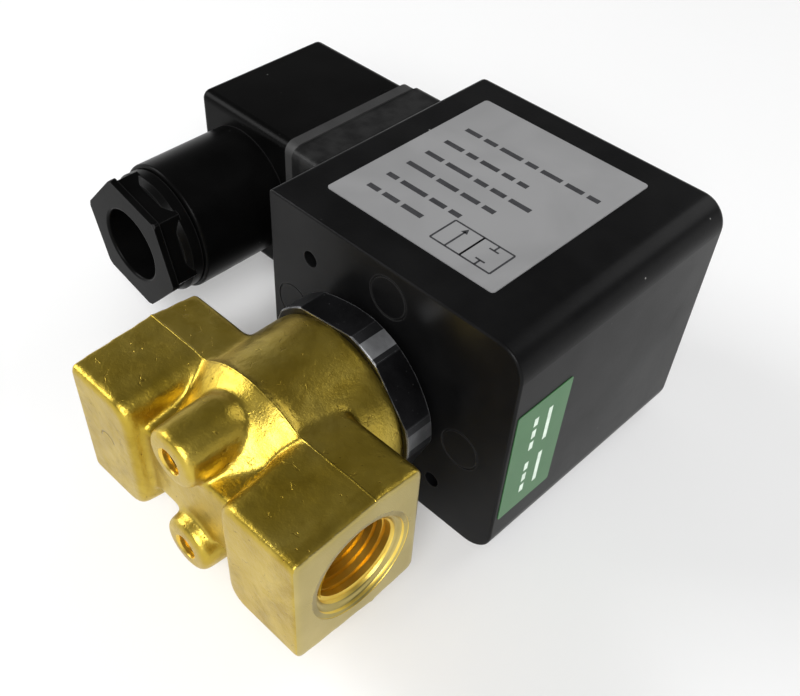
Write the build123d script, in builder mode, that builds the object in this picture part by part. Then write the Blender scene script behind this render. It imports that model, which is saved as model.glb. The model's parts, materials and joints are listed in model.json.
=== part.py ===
from build123d import *
import os

# Direct-acting, normally closed 2/2-way solenoid valve: forged brass body with two G1/4 ports,
# guide tube with spring-loaded plunger, moulded DC coil and a square plug with a cable gland.
#
# All lengths are millimetres. X runs along the ports. Y runs along the stem, from the flat base of
# the brass body towards the coil. Z points out of the coil's name-plate face. The origin is where
# the stem axis meets the base face, midway between the two base fixing holes.

# ---- driving dimensions: brass body ----
OUTLET_FACE_X = 22.6        # machined port faces; the inlet side is the shorter one
INLET_FACE_X = -20.8
PORT_Y = 10.8               # height of the port axis above the base
PORT_R = 6.58               # G1/4 thread, major radius
PORT_FLOOR_X = 9.4          # end of the full thread in each port
PORT_MOUTH_R = 8.2          # spot face around the port
PORT_MOUTH_DEPTH = 0.9      # from the port face to the start of the thread
PORT_SPOT_DEPTH = 0.1
PORT_STEP_R = 7.5           # counterbore inside the spot face
PORT_STEP_DEPTH = 0.5
PARTING_Y = 13.0            # parting plane of the forging
BLOCK_TOP_Y = 20.8
BLOCK_BASE_HALF = 10.2      # half width of a port block at the base, parting plane and top
BLOCK_PARTING_HALF = 11.1
BLOCK_TOP_HALF = 10.4
BLOCK_INNER_X = 9.0         # inner side of a port block at the base
BLOCK_DRAFT = 0.8
MACHINING = 0.8             # length cut off the forging at each port face
BARREL_R = 13.6
BARREL_TOP_Y = 27.4
FLASH_R = 14.1              # rim left by the forging's parting line
COLLAR_FOOT_R = 7.4
COLLAR_FOOT_Y = 3.2
WEB_Y = 2.2                 # underside of the web between the blocks
WEB_HALF = 6.0
FIXING_Z = 9.0              # stem axis to each base fixing hole
FIXING_R = 2.0              # M4 thread, major radius
FIXING_DEPTH = 7.5
BOSS_R = 4.3
BOSS_TOP_Y = 12.0

# ---- driving dimensions: valve seat and flow path ----
ORIFICE_R = 2.0
SEAT_Y = 19.8               # top of the seat lip
SEAT_R = 3.4
CHAMBER_FLOOR_Y = 17.6
CHAMBER_R = 7.2
SOCKET_R = 9.2              # thread that takes the tube nut
SOCKET_FLOOR_Y = 20.2
PASSAGE_R = 2.4
INLET_RISER_X = -5.4
INLET_RISER_R = 1.6

# ---- driving dimensions: stem ----
TUBE_R = 6.5
TUBE_BORE_R = 6.05
TUBE_FLANGE_R = 8.9
TUBE_TOP_Y = 76.0
PLUNGER_R = 5.97
STROKE = 2.0
PLUNGER_TOP_Y = 46.0
SPRING_POCKET_R = 3.3
SPRING_POCKET_Y = 34.0
SPRING_MEAN_R = 2.6
SPRING_WIRE_R = 0.3
SPRING_TURNS = 8
NUT_ACROSS_FLATS = 27.0
NUT_TURNED_R = 14.4
NUT_TOP_Y = 32.8
NUT_SPIGOT_Y = 22.9         # lower end of the nut's thread
SEAL_R = 3.65               # rubber disc in the plunger
SEAL_TOP_Y = 22.2
WASHER_THICK = 1.2          # under the coil nut: flat washer, lock washer, nut
LOCK_WASHER_THICK = 1.7
RETAINING_FLATS = 13.0
RETAINING_TURNED_R = 7.6
RETAINING_HEIGHT = 5.2
STUD_R = 4.0                # M8 thread, major radius
STUD_END_Y = 90.2

# ---- driving dimensions: coil ----
COIL_LOW_X = -21.5
COIL_HIGH_X = 24.9
COIL_LOW_Y = 35.0
COIL_HIGH_Y = 81.0
COIL_HALF_Z = 20.5
COIL_BORE_R = 6.8
COIL_SOFT_EDGE_R = 4.5
YOKE_HALF_X = 18.0
YOKE_HALF_Z = 15.0
YOKE_THICK = 3.2
YOKE_LOW_Y = 38.4
YOKE_HIGH_Y = 77.6
BOBBIN_FLANGE_R = 14.2
BOBBIN_WALL = 1.1
WINDING_R = 13.6
PEDESTAL_X = -33.9
PEDESTAL_LOW_Y = 50.0
PEDESTAL_HIGH_Y = 79.6
PEDESTAL_HALF_Z = 14.0
VENT_R = 1.3
VENT_DEPTH = 2.2
EJECTOR_OUTER_R = 3.4       # ring left by each ejector pin
EJECTOR_INNER_R = 3.1
PLATE_CENTRE = (-0.9, 58.2)
PLATE_SIZE = (30.6, 34.2)
PLATE_THICK = 0.15
LABEL_CENTRE = (41.6, -1.3)
LABEL_SIZE = (11.4, 21.6)
LABEL_THICK = 0.12

# ---- driving dimensions: plug connector ----
PLUG_SIDE = 27.4
PLUG_Y = 64.6               # centre of the plug, its screw and its contacts
PLUG_NEAR_X = -35.9
PLUG_FAR_X = -58.0
PLUG_WALL = 1.8
GASKET_SIDE = 28.4
GASKET_OPENING = 21.6
CONTACT_PITCH = 18.0        # across opposite contacts
BLADE_HALF_WIDTH = 3.15
BLADE_HALF_THICK = 0.4
SCREW_R = 1.45              # plug screw
SCREW_HEAD_R = 3.0
GLAND_X = -47.2
SLEEVE_R = 10.8
SLEEVE_BORE_R = 9.0
SLEEVE_END_Y = 33.6
SLEEVE_SEAT_Y = 48.4
GLAND_END_Y = 26.6
GLAND_HEX_Y = 31.8
GLAND_ACROSS_FLATS = 19.4   # front flange of the nut
GLAND_TURNED_R = 11.1
GLAND_FLANGE_Y = 27.8
GLAND_BODY_FLATS = 18.4     # hexagon behind the flange
GLAND_TURN = -46            # how the nut is turned about its axis, degrees
GLAND_HOLE_R = 6.1
GLAND_SPIGOT_Y = 41.0

FIT = 0.03                  # assembly gap between pieces that stay together


def across_stem(y):
    """Plane square to the stem at height y, facing the coil: local x is +X, local y is -Z."""
    return Plane(origin=(0, y, 0), x_dir=(1, 0, 0), z_dir=(0, 1, 0))


def across_ports(x):
    """Plane square to X, facing +X: local x is +Y, local y is +Z."""
    return Plane(origin=(x, 0, 0), x_dir=(0, 1, 0), z_dir=(1, 0, 0))


def turned(points, x=0, z=0, mode=Mode.ADD):
    """Revolve a closed outline of (radius, height) points about a Y axis through (x, z)."""
    with BuildSketch(Plane(origin=(x, 0, z))) as section:
        with BuildLine():
            Polyline(*points, close=True)
        make_face()
    return revolve(section.sketch, axis=Axis((x, 0, z), (0, 1, 0)), mode=mode)


def washer(r_out, r_in, low_y, high_y, x=0, z=0, mode=Mode.ADD):
    """Flat ring about a Y axis."""
    points = [(r_in, low_y), (r_out, low_y), (r_out, high_y), (r_in, high_y)]
    return turned(points, x, z, mode)


def bar(r, low_x, high_x, y, z, mode=Mode.SUBTRACT):
    """Round bar along X between two stations, by default drilled out."""
    with BuildSketch(across_ports(low_x)) as disc:
        with Locations((y, z)):
            Circle(r)
    return extrude(disc.sketch, amount=high_x - low_x, mode=mode)


def block(low, high, mode=Mode.ADD):
    """Box between two opposite corners, with its sides along the axes."""
    with BuildSketch(Plane.XY.offset(low[2])) as base:
        with Locations(((low[0] + high[0]) / 2, (low[1] + high[1]) / 2)):
            Rectangle(high[0] - low[0], high[1] - low[1])
    return extrude(base.sketch, amount=high[2] - low[2], mode=mode)


def tapered(low_y, low_box, high_y, high_box):
    """Loft between two rectangles across the stem, each given as (x0, x1, half width in Z)."""
    faces = []
    for y, (x0, x1, half_z) in ((low_y, low_box), (high_y, high_box)):
        with BuildSketch(across_stem(y)) as level:
            with Locations(((x0 + x1) / 2, 0)):
                Rectangle(x1 - x0, 2 * half_z)
        faces.append(level.sketch.face())
    return loft(faces, ruled=True)


def middle(edge):
    return edge.position_at(0.5)


def along(edge, axis):
    return abs(edge.tangent_at(0.5).dot(axis.direction)) > 0.95


# ---- valve_body: forged brass with machined ports, seat and fixing holes ----
with BuildPart() as valve_body:
    forged_low_x = INLET_FACE_X - MACHINING
    forged_high_x = OUTLET_FACE_X + MACHINING
    inner_x = BLOCK_INNER_X - BLOCK_DRAFT
    tapered(0, (forged_low_x, -BLOCK_INNER_X, BLOCK_BASE_HALF),
            PARTING_Y, (forged_low_x, -inner_x, BLOCK_PARTING_HALF))
    tapered(0, (BLOCK_INNER_X, forged_high_x, BLOCK_BASE_HALF),
            PARTING_Y, (inner_x, forged_high_x, BLOCK_PARTING_HALF))
    inner_corners = valve_body.edges().filter_by(
        lambda e: along(e, Axis.Y) and abs(middle(e).X) < BLOCK_INNER_X
    )
    fillet(inner_corners, 3.0)
    rim_edges = valve_body.edges().filter_by(
        lambda e: middle(e).Y < 0.01 and forged_low_x + 0.1 < middle(e).X < forged_high_x - 0.1
    )
    fillet(rim_edges, 0.8)
    tapered(PARTING_Y, (forged_low_x, forged_high_x, BLOCK_PARTING_HALF),
            BLOCK_TOP_Y, (forged_low_x, forged_high_x, BLOCK_TOP_HALF))
    top_edges = valve_body.edges().filter_by(
        lambda e: abs(middle(e).Y - BLOCK_TOP_Y) < 0.01 and along(e, Axis.X)
    )
    fillet(top_edges, 1.2)
    # barrel above the parting line, and the cone below it
    turned([
        (0, COLLAR_FOOT_Y), (COLLAR_FOOT_R, COLLAR_FOOT_Y), (FLASH_R, PARTING_Y - 0.2),
        (FLASH_R, PARTING_Y + 0.2), (BARREL_R, PARTING_Y + 0.7),
        (BARREL_R, BARREL_TOP_Y - 0.4), (BARREL_R - 0.4, BARREL_TOP_Y), (0, BARREL_TOP_Y),
    ])
    # web that ties the blocks and the fixing bosses together
    tapered(
        WEB_Y, (-BLOCK_INNER_X - 2, BLOCK_INNER_X + 2, WEB_HALF),
        PARTING_Y, (-BLOCK_INNER_X - 2, BLOCK_INNER_X + 2, WEB_HALF + 3.0),
    )
    for z in (-FIXING_Z, FIXING_Z):
        with BuildSketch(Plane(origin=(0, 0, z))) as boss_outline:
            with BuildLine():
                Polyline((0, 0), (BOSS_R - 0.4, 0), (BOSS_R, 0.4), (BOSS_R + 0.3, BOSS_TOP_Y - 4.6))
                ThreePointArc(
                    (BOSS_R + 0.3, BOSS_TOP_Y - 4.6),
                    (3.4, BOSS_TOP_Y - 1.3),
                    (0, BOSS_TOP_Y),
                )
                Line((0, BOSS_TOP_Y), (0, 0))
            make_face()
        revolve(boss_outline.sketch, axis=Axis((0, 0, z), (0, 1, 0)))
    # machined port faces
    split(bisect_by=across_ports(OUTLET_FACE_X), keep=Keep.BOTTOM)
    split(bisect_by=across_ports(INLET_FACE_X), keep=Keep.TOP)
    # ports, each with its spot face, counterbore, thread chamfer and drill point
    for face_x, out in ((INLET_FACE_X, -1), (OUTLET_FACE_X, 1)):
        with BuildSketch(Plane(origin=(0, PORT_Y, 0))) as port_outline:
            with BuildLine():
                Polyline(
                    (face_x + out, 0),
                    (face_x + out, PORT_MOUTH_R),
                    (face_x - out * PORT_SPOT_DEPTH, PORT_MOUTH_R),
                    (face_x - out * PORT_SPOT_DEPTH, PORT_STEP_R),
                    (face_x - out * PORT_STEP_DEPTH, PORT_STEP_R),
                    (face_x - out * PORT_MOUTH_DEPTH, PORT_R),
                    (out * PORT_FLOOR_X, PORT_R),
                    (out * (PORT_FLOOR_X - 2.2), PASSAGE_R),
                    (out * (PORT_FLOOR_X - 2.2), 0),
                    close=True,
                )
            make_face()
        revolve(port_outline.sketch, axis=Axis((0, PORT_Y, 0), (1, 0, 0)), mode=Mode.SUBTRACT)
    # passages from the ports to the riser of the chamber and to the orifice
    bar(PASSAGE_R, 0, PORT_FLOOR_X, PORT_Y, 0)
    bar(PASSAGE_R, -PORT_FLOOR_X, INLET_RISER_X - INLET_RISER_R, PORT_Y, 0)
    # chamber with the raised seat, and the socket for the tube nut
    turned([
        (ORIFICE_R + 0.4, SEAT_Y), (SEAT_R, CHAMBER_FLOOR_Y), (CHAMBER_R, CHAMBER_FLOOR_Y),
        (CHAMBER_R, SOCKET_FLOOR_Y), (SOCKET_R, SOCKET_FLOOR_Y), (SOCKET_R, BARREL_TOP_Y + 1),
        (0, BARREL_TOP_Y + 1), (0, SEAT_Y),
    ], mode=Mode.SUBTRACT)
    turned([(0, PORT_Y), (ORIFICE_R, PORT_Y), (ORIFICE_R, SEAT_Y + 1), (0, SEAT_Y + 1)],
           mode=Mode.SUBTRACT)
    turned([(0, PORT_Y), (INLET_RISER_R, PORT_Y), (INLET_RISER_R, CHAMBER_FLOOR_Y + 1),
            (0, CHAMBER_FLOOR_Y + 1)], x=INLET_RISER_X, mode=Mode.SUBTRACT)
    bar(INLET_RISER_R, INLET_RISER_X - INLET_RISER_R - 1, INLET_RISER_X, PORT_Y, 0)
    for z in (-FIXING_Z, FIXING_Z):
        turned([(0, -1), (FIXING_R, -1), (FIXING_R, FIXING_DEPTH), (0, FIXING_DEPTH + 1.1)],
               z=z, mode=Mode.SUBTRACT)
valve_body.part.label = "valve_body"

# ---- tube_nut: hexagon with turned corners, threaded spigot into the body ----
with BuildPart() as tube_nut:
    with BuildSketch(across_stem(BARREL_TOP_Y)):
        RegularPolygon(NUT_ACROSS_FLATS / 2, 6, major_radius=False, rotation=-8)
    extrude(amount=NUT_TOP_Y - BARREL_TOP_Y)
    turned([
        (0, BARREL_TOP_Y), (NUT_TURNED_R - 0.15, BARREL_TOP_Y),
        (NUT_TURNED_R, BARREL_TOP_Y + 0.15), (NUT_TURNED_R, NUT_TOP_Y - 0.8),
        (NUT_TURNED_R - 1.4, NUT_TOP_Y), (0, NUT_TOP_Y),
    ], mode=Mode.INTERSECT)
    turned([
        (0, NUT_SPIGOT_Y), (SOCKET_R - 0.8, NUT_SPIGOT_Y), (SOCKET_R - FIT, NUT_SPIGOT_Y + 0.7),
        (SOCKET_R - FIT, BARREL_TOP_Y), (0, BARREL_TOP_Y),
    ])
    washer(TUBE_R + 0.15, 0, 20, NUT_TOP_Y + 1, mode=Mode.SUBTRACT)
tube_nut.part.label = "tube_nut"

# ---- tube_o_ring: squeezed between the socket floor and the tube flange ----
with BuildPart() as tube_o_ring:
    washer(SOCKET_R - 0.15, CHAMBER_R + 0.1, SOCKET_FLOOR_Y, SOCKET_FLOOR_Y + 1.2)
    fillet(tube_o_ring.edges(), 0.45)
tube_o_ring.part.label = "tube_o_ring"

# ---- armature_tube: thin flanged guide tube ----
with BuildPart() as armature_tube:
    flange_y = SOCKET_FLOOR_Y + 1.2
    turned([
        (TUBE_BORE_R, flange_y), (TUBE_FLANGE_R, flange_y), (TUBE_FLANGE_R, flange_y + 1.5),
        (TUBE_R, flange_y + 1.5), (TUBE_R, TUBE_TOP_Y), (TUBE_BORE_R, TUBE_TOP_Y),
    ])
armature_tube.part.label = "armature_tube"

# ---- fixed_core: pole piece closing the tube, with the stud that holds the coil ----
with BuildPart() as fixed_core:
    core_face_y = PLUNGER_TOP_Y + STROKE
    turned([
        (0, core_face_y), (TUBE_BORE_R - FIT - 0.5, core_face_y),
        (TUBE_BORE_R - FIT, core_face_y + 0.5), (TUBE_BORE_R - FIT, TUBE_TOP_Y),
        (TUBE_R, TUBE_TOP_Y), (TUBE_R, TUBE_TOP_Y + 2.4), (STUD_R, TUBE_TOP_Y + 2.4),
        (STUD_R, STUD_END_Y - 0.7), (STUD_R - 0.7, STUD_END_Y), (0, STUD_END_Y),
    ])
fixed_core.part.label = "fixed_core"

# ---- plunger: ferritic armature with the seal recess below and the spring pocket above ----
with BuildPart() as plunger:
    turned([
        (SEAL_R + 0.05, SEAT_Y + 0.6), (PLUNGER_R - 1.2, SEAT_Y + 0.6), (PLUNGER_R, SEAT_Y + 2.2),
        (PLUNGER_R, PLUNGER_TOP_Y - 0.4), (PLUNGER_R - 0.4, PLUNGER_TOP_Y),
        (SPRING_POCKET_R, PLUNGER_TOP_Y), (SPRING_POCKET_R, SPRING_POCKET_Y),
        (0, SPRING_POCKET_Y), (0, SEAL_TOP_Y), (SEAL_R + 0.05, SEAL_TOP_Y),
    ])
    # two flutes let fluid past the plunger
    for side in (-1, 1):
        block((side * 5.9 - 0.6, SEAT_Y, -1.0), (side * 5.9 + 0.6, PLUNGER_TOP_Y + 1, 1.0),
              mode=Mode.SUBTRACT)
plunger.part.label = "plunger"

# ---- seat_seal: elastomer disc that closes the orifice ----
with BuildPart() as seat_seal:
    turned([
        (0, SEAT_Y), (SEAL_R - 0.25, SEAT_Y), (SEAL_R, SEAT_Y + 0.3), (SEAL_R, SEAL_TOP_Y),
        (0, SEAL_TOP_Y),
    ])
seat_seal.part.label = "seat_seal"

# ---- return_spring: helical wire between the pocket floor and the fixed core ----
with BuildPart() as return_spring:
    spring_low_y = SPRING_POCKET_Y + SPRING_WIRE_R + 0.05
    spring_height = core_face_y - SPRING_WIRE_R - 0.05 - spring_low_y
    with BuildLine():
        wire_path = Helix(
            pitch=spring_height / SPRING_TURNS, height=spring_height, radius=SPRING_MEAN_R,
            center=(0, spring_low_y, 0), direction=(0, 1, 0),
        )
    with BuildSketch(Plane(origin=wire_path @ 0, z_dir=wire_path % 0)):
        Circle(SPRING_WIRE_R)
    sweep(path=wire_path, is_frenet=True)
return_spring.part.label = "return_spring"

# ---- coil_seal_lower: rubber ring between the tube nut and the coil ----
with BuildPart() as coil_seal_lower:
    washer(9.6, TUBE_R + 0.1, NUT_TOP_Y, COIL_LOW_Y)
    fillet(coil_seal_lower.edges(), 0.4)
coil_seal_lower.part.label = "coil_seal_lower"

# ---- coil_housing: moulded shell with the connector pedestal ----
with BuildPart() as coil_housing:
    with BuildSketch(across_stem(COIL_LOW_Y)) as coil_outline:
        with Locations(((COIL_LOW_X + COIL_HIGH_X) / 2, 0)):
            Rectangle(COIL_HIGH_X - COIL_LOW_X, 2 * COIL_HALF_Z)
        fillet(coil_outline.vertices().group_by(Axis.X)[-1], COIL_SOFT_EDGE_R)
        fillet(coil_outline.vertices().group_by(Axis.X)[0], 0.9)
    extrude(amount=COIL_HIGH_Y - COIL_LOW_Y)
    fillet(coil_housing.faces().sort_by(Axis.Y)[-1].edges(), 1.2)
    fillet(coil_housing.faces().sort_by(Axis.Y)[0].edges(), 0.4)
    block((PEDESTAL_X, PEDESTAL_LOW_Y, -PEDESTAL_HALF_Z),
          (COIL_LOW_X + 1, PEDESTAL_HIGH_Y, PEDESTAL_HALF_Z))
    pedestal_edges = coil_housing.edges().filter_by(
        lambda e: along(e, Axis.X) and middle(e).X < COIL_LOW_X
    )
    fillet(pedestal_edges, 1.6)
    # recess for the yoke and winding, closed all round, and the through bore
    block((-YOKE_HALF_X - FIT, YOKE_LOW_Y - FIT, -YOKE_HALF_Z - FIT),
          (YOKE_HALF_X + FIT, YOKE_HIGH_Y + FIT, YOKE_HALF_Z + FIT), mode=Mode.SUBTRACT)
    washer(COIL_BORE_R, 0, COIL_LOW_Y - 1, COIL_HIGH_Y + 1, mode=Mode.SUBTRACT)
    # two vent holes and the ejector marks on the front face
    for x, z in ((-13.0, 13.0), (13.0, -13.0)):
        washer(VENT_R, 0, COIL_LOW_Y - 1, COIL_LOW_Y + VENT_DEPTH, x=x, z=z, mode=Mode.SUBTRACT)
    for x, z in ((2.2, 15.6), (17.2, -2.4), (-2.2, -15.6), (-16.8, 2.4)):
        washer(EJECTOR_OUTER_R, EJECTOR_INNER_R, COIL_LOW_Y - 1, COIL_LOW_Y + 0.2, x=x, z=z,
               mode=Mode.SUBTRACT)
    # threaded insert hole for the plug screw and slots for the blades
    bar(SCREW_R + 0.05, PEDESTAL_X - 1, PEDESTAL_X + 6, PLUG_Y, 0)
    slot_half_width = BLADE_HALF_WIDTH + FIT
    slot_half_thick = BLADE_HALF_THICK + FIT
    for y in (PLUG_Y - CONTACT_PITCH / 2, PLUG_Y + CONTACT_PITCH / 2):
        block((PEDESTAL_X - 1, y - slot_half_thick, -slot_half_width),
              (PEDESTAL_X + 8, y + slot_half_thick, slot_half_width), mode=Mode.SUBTRACT)
    block((PEDESTAL_X - 1, PLUG_Y - slot_half_width, -CONTACT_PITCH / 2 - slot_half_thick),
          (PEDESTAL_X + 8, PLUG_Y + slot_half_width, -CONTACT_PITCH / 2 + slot_half_thick),
          mode=Mode.SUBTRACT)
coil_housing.part.label = "coil_housing"

# ---- yoke_frame: bent steel strip that closes the magnetic circuit ----
with BuildPart() as yoke_frame:
    block((-YOKE_HALF_X, YOKE_LOW_Y, -YOKE_HALF_Z), (YOKE_HALF_X, YOKE_HIGH_Y, YOKE_HALF_Z))
    block((-YOKE_HALF_X + YOKE_THICK, YOKE_LOW_Y + YOKE_THICK, -YOKE_HALF_Z - 1),
          (YOKE_HALF_X - YOKE_THICK, YOKE_HIGH_Y - YOKE_THICK, YOKE_HALF_Z + 1),
          mode=Mode.SUBTRACT)
    washer(COIL_BORE_R, 0, YOKE_LOW_Y - 1, YOKE_HIGH_Y + 1, mode=Mode.SUBTRACT)
yoke_frame.part.label = "yoke_frame"

# ---- coil_bobbin: spool for the winding ----
with BuildPart() as coil_bobbin:
    bobbin_low_y = YOKE_LOW_Y + YOKE_THICK + 0.1
    bobbin_high_y = YOKE_HIGH_Y - YOKE_THICK - 0.1
    turned([
        (COIL_BORE_R, bobbin_low_y), (BOBBIN_FLANGE_R, bobbin_low_y),
        (BOBBIN_FLANGE_R, bobbin_low_y + BOBBIN_WALL),
        (COIL_BORE_R + BOBBIN_WALL, bobbin_low_y + BOBBIN_WALL),
        (COIL_BORE_R + BOBBIN_WALL, bobbin_high_y - BOBBIN_WALL),
        (BOBBIN_FLANGE_R, bobbin_high_y - BOBBIN_WALL), (BOBBIN_FLANGE_R, bobbin_high_y),
        (COIL_BORE_R, bobbin_high_y),
    ])
coil_bobbin.part.label = "coil_bobbin"

# ---- coil_winding: enamelled copper wire, as one wound ring ----
with BuildPart() as coil_winding:
    washer(WINDING_R, COIL_BORE_R + BOBBIN_WALL + FIT,
           bobbin_low_y + BOBBIN_WALL + FIT, bobbin_high_y - BOBBIN_WALL - FIT)
    fillet(coil_winding.edges().sort_by(SortBy.LENGTH)[-2:], 0.5)
coil_winding.part.label = "coil_winding"

# ---- terminal_blades: two power blades and the wider-set earth blade ----
blade_root_x = PEDESTAL_X + 8
blade_tip_x = PEDESTAL_X - 10.5
with BuildPart() as terminal_blades:
    for y in (PLUG_Y - CONTACT_PITCH / 2, PLUG_Y + CONTACT_PITCH / 2):
        block((blade_tip_x, y - BLADE_HALF_THICK, -BLADE_HALF_WIDTH),
              (blade_root_x, y + BLADE_HALF_THICK, BLADE_HALF_WIDTH))
    block((blade_tip_x, PLUG_Y - BLADE_HALF_WIDTH, -CONTACT_PITCH / 2 - BLADE_HALF_THICK),
          (blade_root_x, PLUG_Y + BLADE_HALF_WIDTH, -CONTACT_PITCH / 2 + BLADE_HALF_THICK))
    tip_corners = terminal_blades.edges().filter_by(
        lambda e: middle(e).X < blade_tip_x + 0.01 and e.length < 1.0
    )
    chamfer(tip_corners, 1.2)
terminal_blades.part.label = "terminal_blades"

# ---- clamp_washer, lock_washer and retaining_nut: hold the coil on the stem ----
with BuildPart() as clamp_washer:
    washer(8.4, STUD_R + 0.3, COIL_HIGH_Y, COIL_HIGH_Y + WASHER_THICK)
    chamfer(clamp_washer.edges().sort_by(SortBy.LENGTH)[-2:], 0.2)
clamp_washer.part.label = "clamp_washer"

with BuildPart() as lock_washer:
    lock_low_y = COIL_HIGH_Y + WASHER_THICK
    washer(7.0, STUD_R + 0.2, lock_low_y, lock_low_y + LOCK_WASHER_THICK)
    block((-0.45, COIL_HIGH_Y, -8), (0.45, COIL_HIGH_Y + 4, 0), mode=Mode.SUBTRACT)
lock_washer.part.label = "lock_washer"

with BuildPart() as retaining_nut:
    retaining_low_y = lock_low_y + LOCK_WASHER_THICK
    retaining_high_y = retaining_low_y + RETAINING_HEIGHT
    with BuildSketch(across_stem(retaining_low_y)):
        RegularPolygon(RETAINING_FLATS / 2, 6, major_radius=False, rotation=12)
    extrude(amount=retaining_high_y - retaining_low_y)
    turned([
        (0, retaining_low_y), (RETAINING_TURNED_R - 0.9, retaining_low_y),
        (RETAINING_TURNED_R, retaining_low_y + 0.6), (RETAINING_TURNED_R, retaining_high_y - 0.6),
        (RETAINING_TURNED_R - 0.9, retaining_high_y), (0, retaining_high_y),
    ], mode=Mode.INTERSECT)
    washer(STUD_R + FIT, 0, COIL_HIGH_Y, STUD_END_Y, mode=Mode.SUBTRACT)
retaining_nut.part.label = "retaining_nut"

# ---- name_plate and voltage_label: thin foils on the coil ----
with BuildPart() as name_plate:
    with BuildSketch(Plane.XY.offset(COIL_HALF_Z)):
        with Locations(PLATE_CENTRE):
            RectangleRounded(*PLATE_SIZE, 0.6)
    extrude(amount=PLATE_THICK)
name_plate.part.label = "name_plate"

with BuildPart() as voltage_label:
    with BuildSketch(across_ports(COIL_HIGH_X)):
        with Locations(LABEL_CENTRE):
            RectangleRounded(*LABEL_SIZE, 0.4)
    extrude(amount=LABEL_THICK)
voltage_label.part.label = "voltage_label"

# ---- plug_gasket: flat seal between the pedestal and the plug ----
with BuildPart() as plug_gasket:
    with BuildSketch(across_ports(PLUG_NEAR_X)) as gasket_outline:
        with Locations((PLUG_Y, 0)):
            RectangleRounded(GASKET_SIDE, GASKET_SIDE, 1.8)
            Rectangle(GASKET_OPENING, GASKET_OPENING, mode=Mode.SUBTRACT)
    extrude(amount=PEDESTAL_X - PLUG_NEAR_X)
plug_gasket.part.label = "plug_gasket"

# ---- plug_housing: square cover with the round gland sleeve ----
plug_low_y = PLUG_Y - PLUG_SIDE / 2
plug_high_y = PLUG_Y + PLUG_SIDE / 2
half_side = PLUG_SIDE / 2
with BuildPart() as plug_housing:
    block((PLUG_FAR_X, plug_low_y, -half_side), (PLUG_NEAR_X, plug_high_y, half_side))
    fillet(plug_housing.edges().filter_by(Axis.X), 1.6)
    fillet(plug_housing.faces().sort_by(Axis.X)[0].edges(), 1.2)
    washer(SLEEVE_R, 0, SLEEVE_END_Y, plug_low_y + 1, x=GLAND_X)
    fillet(plug_housing.faces().sort_by(Axis.Y)[0].edges(), 0.5)
    inner = half_side - PLUG_WALL
    block((PLUG_FAR_X + PLUG_WALL + 0.6, PLUG_Y - inner, -inner),
          (PLUG_NEAR_X + 1, PLUG_Y + inner, inner), mode=Mode.SUBTRACT)
    turned([
        (0, SLEEVE_END_Y - 1), (SLEEVE_BORE_R, SLEEVE_END_Y - 1), (SLEEVE_BORE_R, SLEEVE_SEAT_Y),
        (6.4, SLEEVE_SEAT_Y + 1.5), (6.4, plug_low_y + PLUG_WALL + 1),
        (0, plug_low_y + PLUG_WALL + 1),
    ], x=GLAND_X, mode=Mode.SUBTRACT)
    bar(1.7, PLUG_FAR_X - 1, PLUG_FAR_X + 4, PLUG_Y, 0)
    bar(3.6, PLUG_FAR_X - 1, PLUG_FAR_X + 1.3, PLUG_Y, 0)
plug_housing.part.label = "plug_housing"

# ---- terminal_block: moulded insert that carries the contacts inside the plug ----
block_low_x = PLUG_NEAR_X - 12.5
block_half = half_side - PLUG_WALL - 0.25
contact_places = (
    (PLUG_Y - CONTACT_PITCH / 2, 0, 2.0, 4.4),
    (PLUG_Y + CONTACT_PITCH / 2, 0, 2.0, 4.4),
    (PLUG_Y, -CONTACT_PITCH / 2, 4.4, 2.0),
)
with BuildPart() as terminal_block:
    block((block_low_x, PLUG_Y - block_half, -block_half),
          (PLUG_NEAR_X + 1.0, PLUG_Y + block_half, block_half))
    fillet(terminal_block.edges().filter_by(Axis.X), 1.0)
    block((PLUG_NEAR_X, PLUG_Y - 15, -15), (PLUG_NEAR_X + 2, PLUG_Y - 10.6, 15),
          mode=Mode.SUBTRACT)
    block((PLUG_NEAR_X, PLUG_Y + 10.6, -15), (PLUG_NEAR_X + 2, PLUG_Y + 15, 15),
          mode=Mode.SUBTRACT)
    block((PLUG_NEAR_X, PLUG_Y - 15, 10.6), (PLUG_NEAR_X + 2, PLUG_Y + 15, 15),
          mode=Mode.SUBTRACT)
    block((PLUG_NEAR_X, PLUG_Y - 15, -15), (PLUG_NEAR_X + 2, PLUG_Y + 15, -10.6),
          mode=Mode.SUBTRACT)
    for y, z, half_y, half_z in contact_places:
        block((block_low_x - 1, y - half_y, z - half_z), (PLUG_NEAR_X + 2, y + half_y, z + half_z),
              mode=Mode.SUBTRACT)
    bar(1.9, block_low_x - 1, PLUG_NEAR_X + 2, PLUG_Y, 0)
terminal_block.part.label = "terminal_block"

# ---- terminal_contacts: folded sockets that grip the blades ----
socket_low_x = block_low_x + 0.5
socket_high_x = PLUG_NEAR_X - 0.6
with BuildPart() as terminal_contacts:
    for y, z, half_y, half_z in contact_places:
        block((socket_low_x, y - half_y + FIT, z - half_z + FIT),
              (socket_high_x, y + half_y - FIT, z + half_z - FIT))
        slot_y = 0.5 if half_y < half_z else 3.3
        slot_z = 3.3 if half_y < half_z else 0.5
        block((socket_low_x + 1.0, y - slot_y, z - slot_z),
              (socket_high_x + 1, y + slot_y, z + slot_z), mode=Mode.SUBTRACT)
terminal_contacts.part.label = "terminal_contacts"

# ---- terminal_screws: clamp the wires on the contacts ----
with BuildPart() as terminal_screws:
    for y, z, _, _ in contact_places:
        bar(1.75, socket_low_x - 2.1, socket_low_x, y, z, mode=Mode.ADD)
    for y, z, _, _ in contact_places:
        block((socket_low_x - 3, y - 0.3, z - 2), (socket_low_x - 1.3, y + 0.3, z + 2),
              mode=Mode.SUBTRACT)
terminal_screws.part.label = "terminal_screws"

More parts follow.
